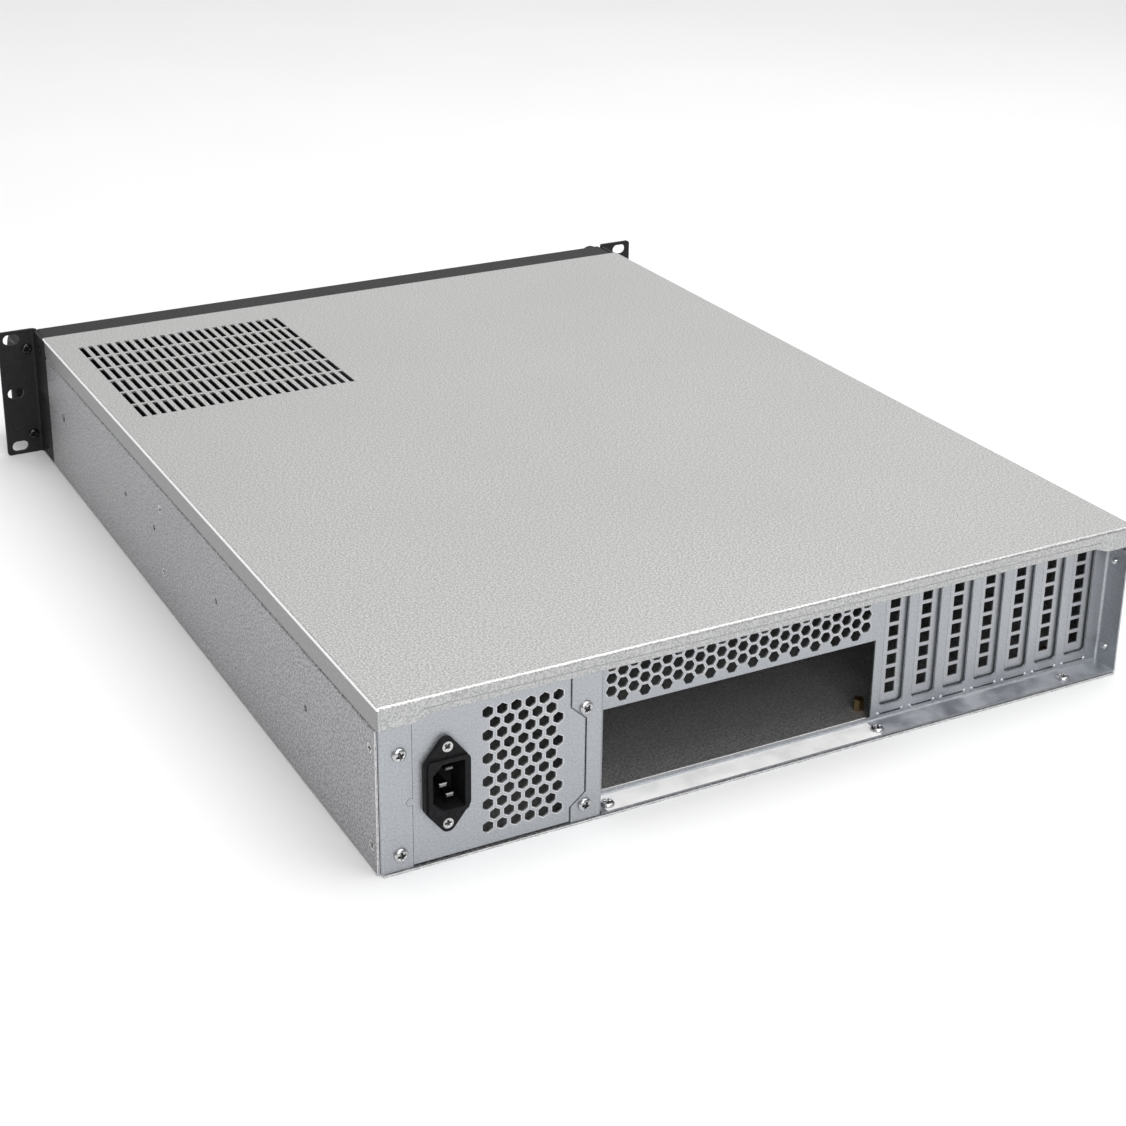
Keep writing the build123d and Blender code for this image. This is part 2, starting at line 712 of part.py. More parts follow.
def sunk_screw(length, head, shank_d, head_depth):
    """A countersunk screw along Z, the top of its head in the plane Z = 0."""
    with BuildPart() as screw:
        Cylinder(shank_d / 2, length, align=(Align.CENTER, Align.CENTER, Align.MAX))
        Cone(head / 2 - head_depth, head / 2, head_depth, align=(Align.CENTER, Align.CENTER, Align.MAX))
    return screw.part


def side_planes(back, heights):
    """Places on both sides of the case, at a distance from the rear face, facing outwards."""
    return [Plane((side * wall_x, rear_y - back, z), z_dir=(side, 0, 0)) for side in (-1, 1) for z in heights]


long_pan_screw = pan_screw(pan_length)
short_pan_screw = pan_screw(2 * sheet + seam)
sheet_screw = sunk_screw(side_screw_length, sunk_head, shank, sheet)
ear_screw = sunk_screw(side_screw_length, sunk_head, shank, (sunk_head - shank) / 2)
inlet_screw_cone = (inlet_screw_head - inlet_screw_shank) / 2
inlet_screw = sunk_screw(inlet_screw_length, inlet_screw_head, inlet_screw_shank, inlet_screw_cone)

with BuildPart() as inlet_screws:
    for side in (-1, 1):
        screw_z = inlet_z + side * inlet_screw_pitch / 2
        with Locations(Plane((inlet_x, panel_y + inlet_flange, screw_z), z_dir=(0, 1, 0))):
            add(inlet_screw)
inlet_screws.part.label = "inlet_screws"
export_step(inlet_screws.part, "parts/inlet_screws.step")

with BuildPart() as inlet_plate_screws:
    for x in plate_screw_x:
        with Locations([Plane((x, panel_y, z), z_dir=(0, 1, 0)) for z in plate_screw_z]):
            add(long_pan_screw)
inlet_plate_screws.part.label = "inlet_plate_screws"
export_step(inlet_plate_screws.part, "parts/inlet_plate_screws.step")

with BuildPart() as rear_side_screws:
    with Locations(side_planes(rear_screw_back, rear_screw_z)):
        add(sheet_screw)
rear_side_screws.part.label = "rear_side_screws"
export_step(rear_side_screws.part, "parts/rear_side_screws.step")

with BuildPart() as recess_screws:
    with Locations([(x, y, panel_foot + sheet) for x, y in recess_points]):
        add(short_pan_screw)
recess_screws.part.label = "recess_screws"
export_step(recess_screws.part, "parts/recess_screws.step")

# Slot covers: a vented plate behind each opening, a tab folded back over the ledge, and a
# tongue at the foot behind the slit.
cover_y = recess_y - sheet - slot_cover_set
tab_z = ledge_z + sheet
for i in range(slot_count):
    x = slot_x - i * slot_pitch
    with BuildPart() as slot_cover:
        with BuildSketch(Plane.YZ.offset(x - slot_cover_width / 2)):
            with BuildLine():
                FilletPolyline(
                    (cover_y, tongue_foot),
                    (cover_y, tab_z),
                    (tab_y + foot_depth / 3, tab_z),
                    radius=bend / 2,
                )
                offset(amount=sheet, side=Side.LEFT)
            make_face()
        extrude(amount=slot_cover_width)
        with BuildSketch(Plane.XZ.offset(-cover_y)):
            for side in (-1, 1):
                with Locations((x + side * slot_cover_width / 2, 0)):
                    Rectangle(slot_cover_width - tongue_width, 2 * slot_cover_foot)
            with Locations((x, grille_z + grille_pitch * (grille_count - 1) / 2)):
                with GridLocations(1, grille_pitch, 1, grille_count):
                    Rectangle(grille_hole, grille_hole)
        extrude(amount=sheet, mode=Mode.SUBTRACT)
        with BuildSketch(Plane.XY.offset(tab_z)):
            with Locations((x, tab_y)):
                Circle(shank_hole)
        extrude(amount=sheet, mode=Mode.SUBTRACT)
    slot_cover.part.label = f"slot_cover_{i + 1}"
    export_step(slot_cover.part, f"parts/slot_cover_{i + 1}.step")

with BuildPart() as slot_cover_screws:
    with Locations([(slot_x - i * slot_pitch, tab_y, tab_z + sheet) for i in range(slot_count)]):
        add(long_pan_screw)
slot_cover_screws.part.label = "slot_cover_screws"
export_step(slot_cover_screws.part, "parts/slot_cover_screws.step")

# A rack ear is a thicker folded bracket: a face plate with three slots for the rack's screws,
# and a flange on the case's side.
ear_slot_x = rack_width / 2 - ear_slot_inset
ear_slot_pitch = ear_height / 2 - ear_slot_margin
ear_z = ear_height / 2
handle_x = wall_x + handle_offset
with BuildPart() as rack_ear_right:
    with BuildSketch(Plane.XY):
        with BuildLine():
            FilletPolyline(
                (wall_x, wall_front - seam),
                (wall_x, ear_y),
                (rack_width / 2, ear_y),
                radius=bend,
            )
            offset(amount=ear_thickness, side=Side.RIGHT)
        make_face()
    extrude(amount=ear_height)
    fillet(rack_ear_right.edges().filter_by(Axis.Y).group_by(Axis.X)[-1], ear_corner)
    # The flange stands on the tray's floor and stays under the cover.
    with BuildSketch(Plane.YZ.offset(wall_x - ear_thickness)):
        with Locations((ear_y + bend, panel_foot)):
            Rectangle(ear_flange, case_height, align=(Align.MIN, Align.MAX))
        with Locations((ear_y + bend, front_top)):
            Rectangle(ear_flange, case_height, align=(Align.MIN, Align.MIN))
    extrude(amount=ear_thickness, mode=Mode.SUBTRACT)
    with BuildSketch(Plane.XZ.offset(-ear_y)):
        with Locations((ear_slot_x, ear_z)):
            with GridLocations(1, ear_slot_pitch, 1, 3):
                SlotOverall(ear_slot_length, ear_slot_height)
        with Locations((handle_x, ear_z)):
            with GridLocations(1, handle_pitch, 1, 2):
                Circle(shank_hole)
    extrude(amount=ear_thickness, mode=Mode.SUBTRACT)
    for z in ear_screw_z:
        with Locations(Plane((wall_x, front_y + ear_screw_back, z), z_dir=(1, 0, 0))):
            CounterSinkHole(shank_hole, sunk_head / 2 + screw_gap, depth=ear_thickness, counter_sink_angle=90)
rack_ear_right.part.label = "rack_ear_right"
export_step(rack_ear_right.part, "parts/rack_ear_right.step")

with BuildPart() as rack_ear_left:
    mirror(rack_ear_right.part, about=Plane.YZ)
rack_ear_left.part.label = "rack_ear_left"
export_step(rack_ear_left.part, "parts/rack_ear_left.step")

with BuildPart() as ear_screws:
    with Locations(side_planes(case_depth - ear_screw_back, ear_screw_z)):
        add(ear_screw)
ear_screws.part.label = "ear_screws"
export_step(ear_screws.part, "parts/ear_screws.step")

# A handle is a round rod bent to a bow, tapped at both feet for screws through the ear.
with BuildPart() as handle_right:
    with BuildLine() as bow:
        FilletPolyline(
            (handle_x, front_y, ear_z - handle_pitch / 2),
            (handle_x, front_y - handle_reach + handle_rod / 2, ear_z - handle_pitch / 2),
            (handle_x, front_y - handle_reach + handle_rod / 2, ear_z + handle_pitch / 2),
            (handle_x, front_y, ear_z + handle_pitch / 2),
            radius=handle_bend,
        )
    with BuildSketch(Plane.XZ.offset(-front_y)):
        with Locations((handle_x, ear_z - handle_pitch / 2)):
            Circle(handle_rod / 2)
    sweep()
    with BuildSketch(Plane.XZ.offset(-front_y)):
        with Locations((handle_x, ear_z)):
            with GridLocations(1, handle_pitch, 1, 2):
                Circle(shank_hole)
    extrude(amount=pan_length, mode=Mode.SUBTRACT)
handle_right.part.label = "handle_right"
export_step(handle_right.part, "parts/handle_right.step")

with BuildPart() as handle_left:
    mirror(handle_right.part, about=Plane.YZ)
handle_left.part.label = "handle_left"
export_step(handle_left.part, "parts/handle_left.step")

with BuildPart() as handle_screws:
    for side in (-1, 1):
        for end in (-1, 1):
            with Locations(Plane((side * handle_x, ear_y, ear_z + end * handle_pitch / 2), z_dir=(0, 1, 0))):
                add(long_pan_screw)
handle_screws.part.label = "handle_screws"
export_step(handle_screws.part, "parts/handle_screws.step")

# The front panel is a black sheet folded to a shallow tray with closed corners. Its side laps
# step out behind the ears' flanges and are riveted inside the tray's walls.
front_z = panel_foot - seam
front_rear = wall_front - bend / 2
lap_head = joggle_z - bend
with BuildPart() as front_panel:
    with BuildSketch(Plane.XZ.offset(-front_y)):
        with Locations((0, front_z)):
            Rectangle(2 * front_x, front_top - front_z, align=(Align.CENTER, Align.MIN))
    extrude(amount=front_y - front_rear)
    fillet(front_panel.edges().filter_by(Axis.Y) + front_panel.faces().sort_by(Axis.Y)[0].edges(), bend)
    offset(amount=-front_skin, openings=front_panel.faces().sort_by(Axis.Y)[-1])
    for side, turn in zip((-1, 1), (Side.RIGHT, Side.LEFT)):
        with BuildSketch(Plane.XY.offset(front_z + bend)):
            with BuildLine():
                Polyline(
                    (side * front_x, front_y + 2 * bend),
                    (side * front_x, wall_front + seam),
                    (side * inner_x, wall_front + bend),
                    (side * inner_x, front_y + front_lap),
                )
                offset(amount=front_skin, side=turn)
            make_face()
        extrude(amount=lap_head - front_z - bend)
        with Locations(Plane((side * inner_x, rear_y - front_rivet_back, front_rivet_z), z_dir=(side, 0, 0))):
            Hole(shank_hole, depth=2 * front_skin)
        for z in ear_screw_z:
            with Locations(Plane((side * front_x, front_y + ear_screw_back, z), z_dir=(side, 0, 0))):
                Hole(shank_hole, depth=2 * front_skin)
    with BuildSketch(Plane.XY):
        with Locations(front_foot):
            Circle(shank_hole)
    extrude(amount=front_z + front_skin, mode=Mode.SUBTRACT)
    # Drive bay, vents, and the openings for the buttons, lights and sockets
    with BuildSketch(Plane.XZ.offset(-front_y)):
        with Locations((bay_x, bay_z)):
            Rectangle(bay_width, bay_height)
        with Locations((vent_x, low_vent_z + front_vent_pitch_z / 2)):
            with GridLocations(front_vent_pitch, front_vent_pitch_z, power_vent_columns, 2):
                Rectangle(front_vent_width, front_vent_length)
        with Locations((bay_x, low_vent_z)):
            with GridLocations(front_vent_pitch, 1, drive_vent_columns, 1):
                Rectangle(front_vent_width, front_vent_length)
        with Locations((side_vent_x, low_vent_z)):
            with GridLocations(front_vent_pitch, 1, side_vent_columns, 1):
                Rectangle(front_vent_width, front_vent_length)
        with Locations((power_button_x, control_z)):
            Circle(power_button_d / 2 + button_gap)
        with Locations((reset_button_x, control_z)):
            Circle(reset_button_d / 2 + button_gap)
        with Locations([(x, control_z) for x in light_x]):
            Circle(light_d / 2 + light_gap)
        with Locations([(x, control_z) for x in usb_x]):
            Rectangle(usb_width + 2 * usb_gap, usb_height + 2 * usb_gap)
    extrude(amount=-front_skin, mode=Mode.SUBTRACT)
    # Posts that carry the control board
    with BuildSketch(Plane.XZ.offset(-front_in)):
        with Locations([(x, control_z) for x in post_x]):
            Circle(post_d / 2)
            Circle(post_bore_r, mode=Mode.SUBTRACT)
    extrude(amount=-board_back)
front_panel.part.label = "front_panel"
export_step(front_panel.part, "parts/front_panel.step")

with BuildPart() as front_panel_screws:
    with Locations([(x, y, front_z + front_skin) for x, y in front_foot]):
        add(short_pan_screw)
front_panel_screws.part.label = "front_panel_screws"
export_step(front_panel_screws.part, "parts/front_panel_screws.step")

front_rivet = sunk_screw(2 * sheet + front_skin, front_rivet_head, shank, sheet)
with BuildPart() as front_panel_rivets:
    with Locations(side_planes(front_rivet_back, (front_rivet_z,))):
        add(front_rivet)
front_panel_rivets.part.label = "front_panel_rivets"
export_step(front_panel_rivets.part, "parts/front_panel_rivets.step")

# The drive bay is closed by a blank: a plate in the opening, with a clip over each end.
with BuildPart() as bay_cover:
    with BuildSketch(Plane.XZ.offset(-front_y)):
        with Locations((bay_x, bay_z)):
            Rectangle(bay_width - 2 * bay_cover_gap, bay_height - 2 * bay_cover_gap)
    extrude(amount=-front_skin - seam)
    with BuildSketch(Plane.XZ.offset(-front_in - seam)):
        with Locations((bay_x, bay_z)):
            Rectangle(bay_width + 2 * bay_cover_clip, bay_height - 4 * bay_cover_rim)
    extrude(amount=-sheet)
    chamfer(bay_cover.faces().sort_by(Axis.Y)[0].edges(), bay_cover_gap)
bay_cover.part.label = "bay_cover"
export_step(bay_cover.part, "parts/bay_cover.step")

# A button is a cap with a rim behind the panel and a stem that slides in its switch.
switch_face = board_y - switch_height
for name, x, cap in (
    ("power_button", power_button_x, power_button_d),
    ("reset_button", reset_button_x, reset_button_d),
):
    with BuildPart() as button:
        with BuildSketch(Plane.XZ.offset(-front_y + button_proud)):
            with Locations((x, control_z)):
                Circle(cap / 2)
        extrude(amount=-button_proud - front_skin - seam)
        fillet(button.edges().sort_by(Axis.Y)[0], button_proud / 2)
        with BuildSketch(Plane.XZ.offset(-front_in - seam)):
            with Locations((x, control_z)):
                Circle(cap / 2 + button_rim)
        extrude(amount=-button_rim_thickness)
        with BuildSketch(Plane.XZ.offset(-front_in - seam)):
            with Locations((x, control_z)):
                Circle(stem_d / 2)
        extrude(amount=front_in + seam - switch_face - stem_reach)
    button.part.label = name
    export_step(button.part, f"parts/{name}.step")

for name, x in (("power_switch", power_button_x), ("reset_switch", reset_button_x)):
    with BuildPart() as switch:
        with BuildSketch(Plane.XZ.offset(-board_y)):
            with Locations((x, control_z)):
                RectangleRounded(switch_size, switch_size, bend / 2)
        extrude(amount=switch_height)
        with BuildSketch(Plane.XZ.offset(-switch_face)):
            with Locations((x, control_z)):
                Circle(stem_d / 2 + stem_gap)
        extrude(amount=-switch_bore, mode=Mode.SUBTRACT)
    switch.part.label = name
    export_step(switch.part, f"parts/{name}.step")

with BuildPart() as control_board:
    with BuildSketch(Plane.XZ.offset(-board_y)):
        with Locations((board_x, control_z)):
            Rectangle(board_width, board_height)
        with Locations([(x, control_z) for x in post_x]):
            Circle(post_bore_r + screw_gap, mode=Mode.SUBTRACT)
    extrude(amount=-board_thickness)
control_board.part.label = "control_board"
export_step(control_board.part, "parts/control_board.step")

with BuildPart() as control_board_screws:
    with BuildSketch(Plane.XZ.offset(-board_y - board_thickness)):
        with Locations([(x, control_z) for x in post_x]):
            Circle(post_d / 2)
    extrude(amount=-board_thickness)
    with BuildSketch(Plane.XZ.offset(-board_y - board_thickness)):
        with Locations([(x, control_z) for x in post_x]):
            Circle(post_bore_r - screw_gap)
    extrude(amount=board_thickness + board_back / 2)
control_board_screws.part.label = "control_board_screws"
export_step(control_board_screws.part, "parts/control_board_screws.step")

with BuildPart() as indicator_lights:
    with BuildSketch(Plane.XZ.offset(-front_y + light_proud)):
        with Locations([(x, control_z) for x in light_x]):
            Circle(light_d / 2)
    extrude(amount=front_y - light_proud - board_y)
    fillet(indicator_lights.edges().sort_by(Axis.Y)[:2], light_d / 4)
indicator_lights.part.label = "indicator_lights"
export_step(indicator_lights.part, "parts/indicator_lights.step")

with BuildPart() as usb_sockets:
    with BuildSketch(Plane.XZ.offset(-front_y)):
        with Locations([(x, control_z) for x in usb_x]):
            Rectangle(usb_width, usb_height)
            Rectangle(usb_width - 2 * usb_shell, usb_height - 2 * usb_shell, mode=Mode.SUBTRACT)
    extrude(amount=front_y - board_y)
usb_sockets.part.label = "usb_sockets"
export_step(usb_sockets.part, "parts/usb_sockets.step")

# The tongue of a socket stands on the board, against the shell's upper side.
with BuildPart() as usb_tongues:
    with BuildSketch(Plane.XZ.offset(-board_y)):
        with Locations([(x, control_z + usb_height / 2 - usb_shell - usb_tongue / 2) for x in usb_x]):
            Rectangle(usb_width - 2 * usb_shell - 2 * seam, usb_tongue)
    extrude(amount=board_back)
usb_tongues.part.label = "usb_tongues"
export_step(usb_tongues.part, "parts/usb_tongues.step")

# The drive cage is a sheet folded to an upturned channel, with a foot along each side.
with BuildPart() as drive_cage:
    with BuildSketch(Plane.XZ.offset(-cage_y)):
        with BuildLine():
            FilletPolyline(
                (bay_x - bay_width / 2 - foot_depth, panel_foot - seam),
                (bay_x - bay_width / 2, panel_foot - seam),
                (bay_x - bay_width / 2, bracket_head),
                (bay_x + bay_width / 2, bracket_head),
                (bay_x + bay_width / 2, panel_foot - seam),
                (bay_x + bay_width / 2 + foot_depth, panel_foot - seam),
                radius=bend,
            )
            offset(amount=sheet, side=Side.LEFT)
        make_face()
    extrude(amount=cage_depth / 2, both=True)
    with BuildSketch(Plane.YZ.offset(bay_x)):
        for drop in cage_hole_drop:
            with Locations((cage_y, bracket_head - drop)):
                with GridLocations(cage_hole_pitch_y, 1, 3, 1):
                    Circle(rail_hole_r)
    extrude(amount=bay_width, both=True, mode=Mode.SUBTRACT)
    with BuildSketch(Plane.XY):
        with Locations(cage_foot):
            Circle(shank_hole)
    extrude(amount=2 * sheet + bend, mode=Mode.SUBTRACT)
drive_cage.part.label = "drive_cage"
export_step(drive_cage.part, "parts/drive_cage.step")

with BuildPart() as drive_cage_screws:
    with Locations([(x, y, panel_foot - seam + sheet) for x, y in cage_foot]):
        add(short_pan_screw)
drive_cage_screws.part.label = "drive_cage_screws"
export_step(drive_cage_screws.part, "parts/drive_cage_screws.step")

# The power supply is screwed to a bracket that stands across its bay.
with BuildPart() as power_supply_bracket:
    with BuildSketch(Plane.YZ.offset(vent_x)):
        with BuildLine():
            FilletPolyline(
                (bracket_y + foot_depth, panel_foot - seam),
                (bracket_y, panel_foot - seam),
                (bracket_y, bracket_head),
                radius=bend,
            )
            offset(amount=sheet, side=Side.RIGHT)
        make_face()
    extrude(amount=power_bracket_width / 2, both=True)
    with BuildSketch(Plane.XZ.offset(-bracket_y)):
        with Locations((vent_x, bracket_head / 2)):
            Rectangle(power_window_width, power_window_height)
            with GridLocations(power_hole_pitch_x, power_hole_pitch_z, 2, 2):
                Circle(power_hole_r)
    extrude(amount=-sheet, mode=Mode.SUBTRACT)
    with BuildSketch(Plane.XY):
        with Locations(bracket_foot):
            Circle(shank_hole)
    extrude(amount=2 * sheet + bend, mode=Mode.SUBTRACT)
power_supply_bracket.part.label = "power_supply_bracket"
export_step(power_supply_bracket.part, "parts/power_supply_bracket.step")

with BuildPart() as power_supply_bracket_screws:
    with Locations([(x, y, panel_foot - seam + sheet) for x, y in bracket_foot]):
        add(short_pan_screw)
power_supply_bracket_screws.part.label = "power_supply_bracket_screws"
export_step(power_supply_bracket_screws.part, "parts/power_supply_bracket_screws.step")

# The fan wall crosses the case between the tray's walls, with a flange on each and a fold
# along its head.
with BuildPart() as fan_wall:
    with BuildSketch(Plane.XY.offset(panel_foot)):
        with BuildLine():
            FilletPolyline(
                (-inner_x, fan_y + fan_wall_flange),
                (-inner_x, fan_y),
                (inner_x, fan_y),
                (inner_x, fan_y + fan_wall_flange),
                radius=bend,
            )
            offset(amount=sheet, side=Side.LEFT)
        make_face()
    extrude(amount=lap_head - panel_foot)
    with BuildSketch(Plane.YZ):
        with BuildLine():
            FilletPolyline(
                (fan_y, lap_head - bend),
                (fan_y, fan_wall_head),
                (fan_y + fan_wall_flange / 2, fan_wall_head),
                radius=bend,
            )
            offset(amount=sheet, side=Side.RIGHT)
        make_face()
    extrude(amount=inner_x - bend, both=True)
    with BuildSketch(Plane.XZ.offset(-fan_y)):
        with Locations((0, fan_z)):
            with GridLocations(fan_pitch, 1, fan_count, 1):
                Circle(fan_opening / 2)
                with GridLocations(fan_hole_pitch, fan_hole_pitch, 2, 2):
                    Circle(fan_hole_r)
    extrude(amount=-sheet, mode=Mode.SUBTRACT)
    with BuildSketch(Plane.YZ):
        with Locations([(rear_y - fan_screw_back, z) for z in fan_screw_z]):
            Circle(shank_hole)
    extrude(amount=wall_x, both=True, mode=Mode.SUBTRACT)
fan_wall.part.label = "fan_wall"
export_step(fan_wall.part, "parts/fan_wall.step")

with BuildPart() as fan_wall_screws:
    with Locations(side_planes(fan_screw_back, fan_screw_z)):
        add(sheet_screw)
fan_wall_screws.part.label = "fan_wall_screws"
export_step(fan_wall_screws.part, "parts/fan_wall_screws.step")

# Hexagonal standoffs for the mainboard, pressed into the floor and tapped from above
with BuildPart() as board_standoffs:
    with BuildSketch(Plane.XY.offset(sheet)):
        with Locations(standoff_points):
            RegularPolygon(standoff_hex / 2, 6, major_radius=False)
    extrude(amount=standoff_height)
    with BuildSketch(Plane.XY.offset(seam)):
        with Locations(standoff_points):
            Circle(standoff_spigot / 2)
    extrude(amount=sheet - seam)
    with BuildSketch(Plane.XY.offset(sheet + standoff_height)):
        with Locations(standoff_points):
            Circle(standoff_bore_r)
    extrude(amount=-standoff_bore_depth, mode=Mode.SUBTRACT)
board_standoffs.part.label = "board_standoffs"
export_step(board_standoffs.part, "parts/board_standoffs.step")
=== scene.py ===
import bpy
import numpy as np
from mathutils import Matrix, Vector


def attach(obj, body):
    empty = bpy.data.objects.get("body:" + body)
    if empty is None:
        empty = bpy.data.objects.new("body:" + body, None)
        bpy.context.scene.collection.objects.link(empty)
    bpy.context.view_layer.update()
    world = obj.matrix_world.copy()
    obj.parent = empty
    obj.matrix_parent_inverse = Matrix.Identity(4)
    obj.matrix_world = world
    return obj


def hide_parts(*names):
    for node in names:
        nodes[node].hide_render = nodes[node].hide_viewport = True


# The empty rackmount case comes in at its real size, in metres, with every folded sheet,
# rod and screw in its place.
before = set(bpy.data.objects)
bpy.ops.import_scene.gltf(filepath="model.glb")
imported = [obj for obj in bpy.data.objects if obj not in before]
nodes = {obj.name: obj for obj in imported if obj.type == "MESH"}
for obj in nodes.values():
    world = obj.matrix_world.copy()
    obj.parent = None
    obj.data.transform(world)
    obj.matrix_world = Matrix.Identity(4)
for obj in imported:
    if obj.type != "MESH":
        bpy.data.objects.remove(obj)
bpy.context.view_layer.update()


# The tray is zinc-coated steel sheet, folded into the floor and both side walls. The bath and
# the rolls leave a fine grain and soft clouds of gloss. Folds and cut edges are painted as thin
# lines: dark as painted shade and dirt, and pale as a painted highlight on the bare ends of the
# walls.
def new_material(name, metallic, specular=0.5):
    """An empty material with its shader, and the node tree to build on."""
    material = bpy.data.materials.new(name)
    material.use_nodes = True
    tree = material.node_tree
    shader = tree.nodes["Principled BSDF"]
    shader.inputs["Metallic"].default_value = metallic
    shader.inputs["Specular IOR Level"].default_value = specular
    return material, tree, shader


def noise(tree, scale, detail=2.0, stretch=(1.0, 1.0, 1.0)):
    """Noise on object coordinates, with its grains per metre, stretched along an axis."""
    place = tree.nodes.new("ShaderNodeTexCoord")
    mapping = tree.nodes.new("ShaderNodeMapping")
    mapping.inputs["Scale"].default_value = stretch
    texture = tree.nodes.new("ShaderNodeTexNoise")
    texture.inputs["Scale"].default_value = scale
    texture.inputs["Detail"].default_value = detail
    tree.links.new(place.outputs["Object"], mapping.inputs["Vector"])
    tree.links.new(mapping.outputs["Vector"], texture.inputs["Vector"])
    return texture.outputs["Fac"]


def spread(tree, value, low, high, at=(0.3, 0.7)):
    """A value carried from the range at[0] to at[1] over to the range low to high."""
    band = tree.nodes.new("ShaderNodeMapRange")
    band.inputs["From Min"].default_value = at[0]
    band.inputs["From Max"].default_value = at[1]
    band.inputs["To Min"].default_value = low
    band.inputs["To Max"].default_value = high
    tree.links.new(value, band.inputs["Value"])
    return band.outputs["Result"]


def mixed(tree, factor, first, second):
    """A colour between two others. Each may be a plain colour or a socket."""
    mix = tree.nodes.new("ShaderNodeMix")
    mix.data_type = "RGBA"
    tree.links.new(factor, mix.inputs["Factor"])
    for socket, colour in ((mix.inputs["A"], first), (mix.inputs["B"], second)):
        if isinstance(colour, bpy.types.NodeSocket):
            tree.links.new(colour, socket)
        else:
            socket.default_value = (*colour, 1.0)
    return mix.outputs["Result"]


def times(tree, first, second):
    """The product of two values."""
    product = tree.nodes.new("ShaderNodeMath")
    product.operation = "MULTIPLY"
    tree.links.new(first, product.inputs[0])
    tree.links.new(second, product.inputs[1])
    return product.outputs["Value"]


def bumped(tree, shader, height, strength, depth):
    """The shader's surface raised by a height, with its depth in metres."""
    bump = tree.nodes.new("ShaderNodeBump")
    bump.inputs["Strength"].default_value = strength
    bump.inputs["Distance"].default_value = depth
    tree.links.new(height, bump.inputs["Height"])
    tree.links.new(bump.outputs["Normal"], shader.inputs["Normal"])


def cut_edges(tree, width):
    """One on an edge and nothing off it: the turn between the true and the rounded normal."""
    rounded = tree.nodes.new("ShaderNodeBevel")
    rounded.samples = 4
    rounded.inputs["Radius"].default_value = width
    geometry = tree.nodes.new("ShaderNodeNewGeometry")
    turn = tree.nodes.new("ShaderNodeVectorMath")
    turn.operation = "DOT_PRODUCT"
    tree.links.new(rounded.outputs["Normal"], turn.inputs[0])
    tree.links.new(geometry.outputs["Normal"], turn.inputs[1])
    return spread(tree, turn.outputs["Value"], 1.0, 0.0, at=(0.80, 0.985))


def within(tree, low, high):
    """One where the point lies in a box from low to high, and nothing outside it."""
    place = tree.nodes.new("ShaderNodeTexCoord")
    parts = tree.nodes.new("ShaderNodeSeparateXYZ")
    tree.links.new(place.outputs["Object"], parts.inputs["Vector"])
    inside = None
    for axis, least, most in zip("XYZ", low, high):
        near = tree.nodes.new("ShaderNodeMath")
        near.operation = "COMPARE"
        tree.links.new(parts.outputs[axis], near.inputs[0])
        near.inputs[1].default_value = (least + most) / 2
        near.inputs[2].default_value = (most - least) / 2
        between = near.outputs["Value"]
        inside = between if inside is None else times(tree, inside, between)
    return inside


def level_faces(tree):
    """One on faces that look straight up or down, and nothing on the others."""
    geometry = tree.nodes.new("ShaderNodeNewGeometry")
    parts = tree.nodes.new("ShaderNodeSeparateXYZ")
    tree.links.new(geometry.outputs["Normal"], parts.inputs["Vector"])
    steepness = times(tree, parts.outputs["Z"], parts.outputs["Z"])
    return spread(tree, steepness, 0.0, 1.0, at=(0.80, 0.95))


def toned(tree, colour, sheen, mask, tint, share, keep):
    """The colour mixed with a tint by the mask times a share, and the metal sheen times keep
    where the mask is one."""
    colour = mixed(tree, spread(tree, mask, 0.0, share, at=(0.0, 1.0)), colour, tint)
    return colour, times(tree, sheen, spread(tree, mask, 1.0, keep, at=(0.0, 1.0)))


def lit_blotched_flange(tree, colour, sheen, lit_strip_box):
    """The bath's blotches on every level face, lighter there as painted light, and in a box a
    white matt strip with streaks, painted light.
    """
    # Painted light: level faces take lighter blotches, and the strip is painted white and matt.
    blotch = spread(tree, noise(tree, 60.0, detail=4.0), 0.0, 1.0, at=(0.40, 0.62))
    lit_blotches = mixed(tree, blotch, (0.84, 0.86, 0.89), (0.44, 0.45, 0.49))
    colour = mixed(tree, level_faces(tree), colour, lit_blotches)
    lit_strip_mask = times(tree, within(tree, *lit_strip_box), level_faces(tree))
    light_streaks = spread(tree, noise(tree, 70.0, detail=4.0), 0.0, 0.8, at=(0.42, 0.70))
    strip_light = mixed(tree, light_streaks, (1.0, 1.0, 0.99), (0.76, 0.76, 0.76))
    return toned(tree, colour, sheen, lit_strip_mask, strip_light, share=1.0, keep=0.0)


def zinc_sheet(
    name, dark, light, grains, relief, metallic=1.0, patches=(), rims=(), lit_strip_box=None
):
    """Zinc in two greys by its grain, and darker in its clouds. A patch is a tint, its share,
    how metallic it stays, and its box. A rim is the width of a cut edge, its tint, how metallic
    it stays, and its box. A lit strip box is where a blotched sheet is painted white and matt, as
    painted light."""
    material, tree, shader = new_material(name, metallic)
    grain = spread(tree, noise(tree, grains, detail=1.0), 0.0, 1.0, at=(0.35, 0.65))
    cloud = noise(tree, 9.0, detail=3.0)
    colour = mixed(tree, grain, dark, light)
    colour = mixed(tree, spread(tree, cloud, 0.07, 0.18), colour, dark)
    sheen = spread(tree, cloud, metallic, metallic - 0.01)
    for tint, share, keep, box in patches:
        colour, sheen = toned(tree, colour, sheen, within(tree, *box), tint, share, keep)
    if lit_strip_box:
        colour, sheen = lit_blotched_flange(tree, colour, sheen, lit_strip_box)
    for width, tint, keep, box in rims:
        rim = times(tree, cut_edges(tree, width), within(tree, *box))
        colour, sheen = toned(tree, colour, sheen, rim, tint, 1.0, keep)
    tree.links.new(colour, shader.inputs["Base Color"])
    tree.links.new(sheen, shader.inputs["Metallic"])
    tree.links.new(spread(tree, grain, 0.38, 0.56, at=(0.0, 1.0)), shader.inputs["Roughness"])
    bumped(tree, shader, noise(tree, 0.9 * grains), relief, 0.00010)
    return material


def finish(node, material):
    """Gives a material to every slot of a node."""
    for place in nodes[node].material_slots:
        place.material = material


